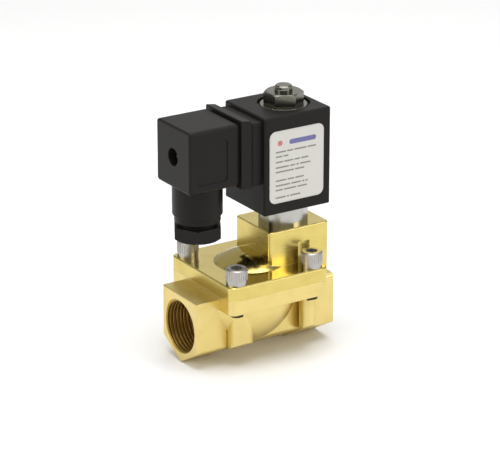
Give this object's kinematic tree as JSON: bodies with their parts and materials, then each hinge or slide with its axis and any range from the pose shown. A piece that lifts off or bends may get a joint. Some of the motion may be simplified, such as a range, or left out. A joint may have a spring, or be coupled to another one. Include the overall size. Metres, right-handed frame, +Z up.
{
  "type": "solenoid valve",
  "caption": "Servo-assisted solenoid valve: brass body with threaded inlet and outlet, bolted bonnet with offset pilot tower, square coil, side plug with cable gland.",
  "frame": {"origin": "on the axis of both ports, in the first full thread of the inlet", "axes": "+X with the flow from inlet to outlet, +Z up along the valve and coil axes, Y across"},
  "size_m": [0.0773, 0.0528, 0.1236],
  "materials": {
    "cast_brass": "cast and machined brass, polished on the plate and flats",
    "zinc_steel": "bright zinc plated steel",
    "dark_nut": "dark zinc plated steel",
    "stainless": "turned stainless steel",
    "black_plastic": "moulded glass-filled plastic, fine texture",
    "grey_plastic": "moulded plastic, satin",
    "black_rubber": "moulded rubber",
    "label_film": "printed silver-grey film",
    "copper": "enamelled copper",
    "contact_metal": "tin plated brass"
  },
  "bodies": {
    "valve_body": {"body": "cast_brass", "bonnet": "cast_brass", "bonnet_screws": "zinc_steel", "spring_washers": "zinc_steel", "diaphragm": "black_rubber", "main_spring": "stainless", "pilot_nozzle": "stainless", "armature_tube": "stainless", "tube_o_ring": "black_rubber", "fixed_core": "stainless", "shading_ring": "copper", "plunger_spring": "stainless"},
    "main_valve": {"valve_disc": "stainless", "seat_seal": "black_rubber", "diaphragm_plate": "stainless", "stem_nut": "zinc_steel"},
    "pilot_plunger": {"plunger": "stainless", "plunger_seal": "black_rubber"},
    "coil": {"coil_housing": "black_plastic", "yoke": "zinc_steel", "bobbin": "grey_plastic", "winding": "copper", "terminal_pins": "contact_metal", "rating_label": "label_film", "nut_washer": "zinc_steel"},
    "plug": {"plug_housing": "black_plastic", "plug_gasket": "black_rubber", "terminal_insert": "grey_plastic", "contact_clips": "contact_metal", "contact_screws": "zinc_steel", "plug_screw_seal": "black_rubber", "gland_seal": "black_rubber", "gland_washer": "zinc_steel"},
    "plug_screw": {"plug_screw": "zinc_steel"},
    "gland_nut": {"gland_nut": "black_plastic"},
    "coil_nut": {"coil_nut": "dark_nut"}
  },
  "joints": [
    {"name": "main_lift", "type": "slide", "parent": "valve_body", "child": "main_valve", "axis": [0, 0, 1], "range_m": [0, 0.0032], "stiffness_N_per_m": 600, "springref_m": -0.004, "deforming": ["main_spring", "diaphragm"]},
    {"name": "pilot_lift", "type": "slide", "parent": "valve_body", "child": "pilot_plunger", "axis": [0, 0, 1], "range_m": [0, 0.0016], "stiffness_N_per_m": 250, "springref_m": -0.004, "deforming": ["plunger_spring"]},
    {"name": "coil_swivel", "type": "hinge", "parent": "valve_body", "child": "coil", "pos_m": [0.05481, 0, 0.0516], "axis": [0, 0, 1], "continuous": true},
    {"name": "plug_pull", "type": "slide", "parent": "coil", "child": "plug", "axis": [-1, 0, 0], "range_m": [0, 0.012]},
    {"name": "plug_screw_turn", "type": "hinge", "parent": "plug", "child": "plug_screw", "pos_m": [-0.00389, 0, 0.0824], "axis": [1, 0, 0], "continuous": true},
    {"name": "gland_nut_turn", "type": "hinge", "parent": "plug", "child": "gland_nut", "pos_m": [0.00861, 0, 0.0419], "axis": [0, 0, 1], "continuous": true},
    {"name": "coil_nut_turn", "type": "hinge", "parent": "valve_body", "child": "coil_nut", "pos_m": [0.05481, 0, 0.0975], "axis": [0, 0, 1], "continuous": true}
  ]
}
